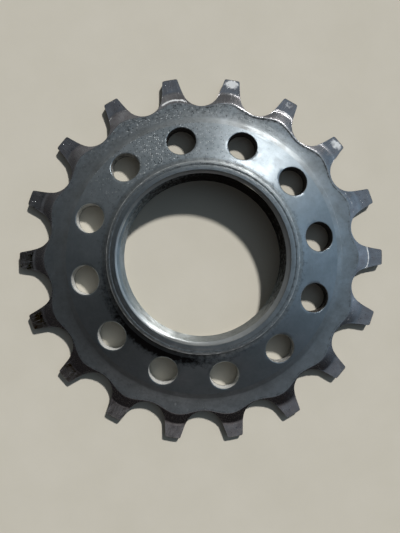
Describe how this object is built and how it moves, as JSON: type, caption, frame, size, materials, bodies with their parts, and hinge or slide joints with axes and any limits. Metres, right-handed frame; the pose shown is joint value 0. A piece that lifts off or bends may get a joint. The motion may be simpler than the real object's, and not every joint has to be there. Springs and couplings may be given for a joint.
{
  "type": "track sprocket",
  "caption": "One-piece steel chain sprocket for a fixed-gear hub: toothed disc, drilled conical web and raised collar with a threaded bore.",
  "frame": {"origin": "on the bore axis, in the plane of the flat back face that seats on the hub", "axes": "+Z along the bore axis from the back face to the collar; +X through the middle of a tooth; +Y completes a right-handed frame and runs through a gap between two teeth"},
  "size_m": [0.0782, 0.0776, 0.0078],
  "materials": {
    "plated_steel": "dark, worn plating on turned steel: fine turning lines, pits and grime on the rim, bare bright steel on the walls of the holes and on the worn tooth tips"
  },
  "bodies": {
    "root": {"sprocket": "plated_steel"}
  },
  "joints": []
}
